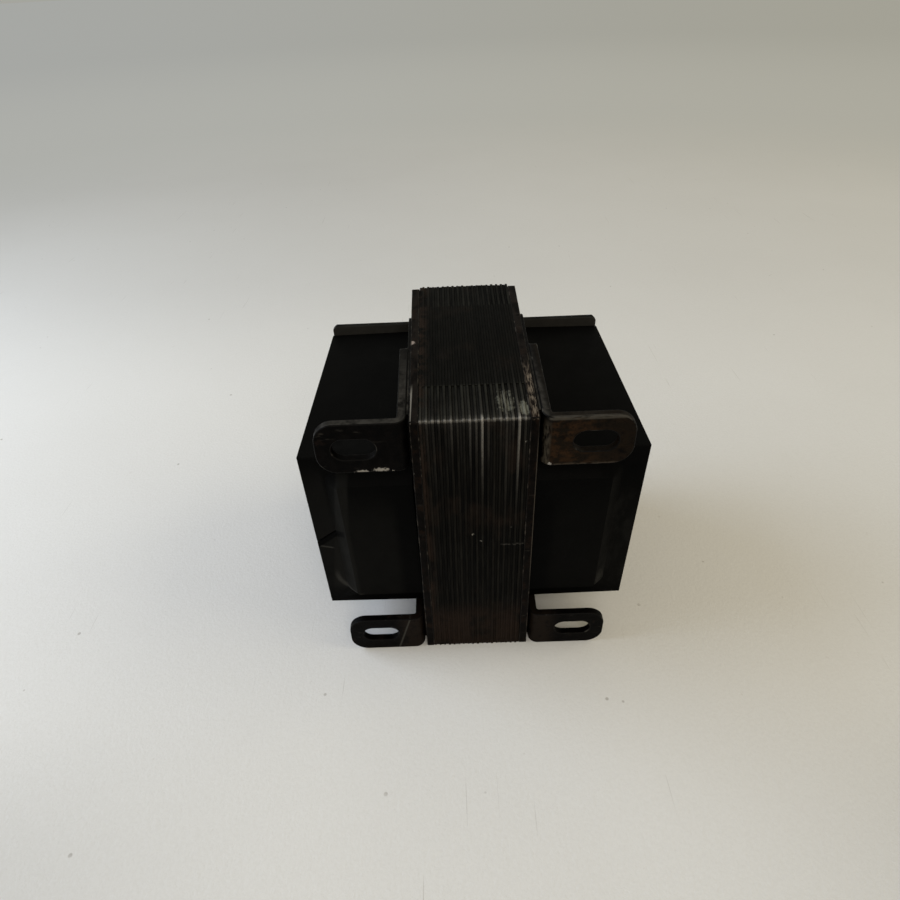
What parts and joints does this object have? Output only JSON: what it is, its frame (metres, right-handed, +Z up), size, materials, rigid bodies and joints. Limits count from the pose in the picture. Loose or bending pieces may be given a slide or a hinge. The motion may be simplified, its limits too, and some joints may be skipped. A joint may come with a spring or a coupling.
{
  "type": "control transformer",
  "caption": "Foot-mounted control transformer with an interleaved E and I lamination core, two black moulded coil covers, slotted steel feet and screw terminals.",
  "frame": {"origin": "on the surface it stands on, under the middle of the box around the transformer", "axes": "+X through the lamination stack, to the right seen from the feet; +Y from the mounting feet towards the terminals; +Z up as it stands on one lamination edge"},
  "size_m": [0.0774, 0.0688, 0.0762],
  "materials": {
    "lamination_steel": "dark varnished sheet edges with worn ridges and faint rust",
    "frame_steel": "black varnish worn to brown rust at the edges",
    "foot_steel": "black varnish, scuffed, with rust on the upper right foot",
    "weld_metal": "rough weld bead under varnish",
    "bobbin_nylon": "moulded nylon",
    "copper": "enamelled copper wire",
    "insulation_paper": "varnished paper",
    "wedge_fibre": "pressed fibre",
    "cover_plastic": "satin black moulding with dust and scuffs",
    "resin": "cast black resin",
    "board_plastic": "satin black moulding",
    "terminal_brass": "dull brass",
    "screw_steel": "dull plated steel",
    "lead_insulation": "black lead wire sleeve"
  },
  "bodies": {
    "root": {"e_laminations_front": "lamination_steel", "e_laminations_back": "lamination_steel", "i_laminations_front": "lamination_steel", "i_laminations_back": "lamination_steel", "left_end_plate": "frame_steel", "right_end_plate": "frame_steel", "lower_left_foot": "foot_steel", "lower_right_foot": "foot_steel", "upper_left_foot": "foot_steel", "upper_right_foot": "foot_steel", "foot_strips": "foot_steel", "foot_welds": "weld_metal", "bobbin": "bobbin_nylon", "primary_winding": "copper", "winding_insulation": "insulation_paper", "secondary_winding": "copper", "outer_wrap": "insulation_paper", "coil_wedges": "wedge_fibre", "left_coil_cover": "cover_plastic", "right_coil_cover": "cover_plastic", "left_resin_fill": "resin", "right_resin_fill": "resin", "left_terminal_board": "board_plastic", "right_terminal_board": "board_plastic", "terminal_inserts": "terminal_brass", "terminal_plates": "terminal_brass", "terminal_screws": "screw_steel", "primary_leads": "lead_insulation", "secondary_leads": "lead_insulation"}
  },
  "joints": []
}
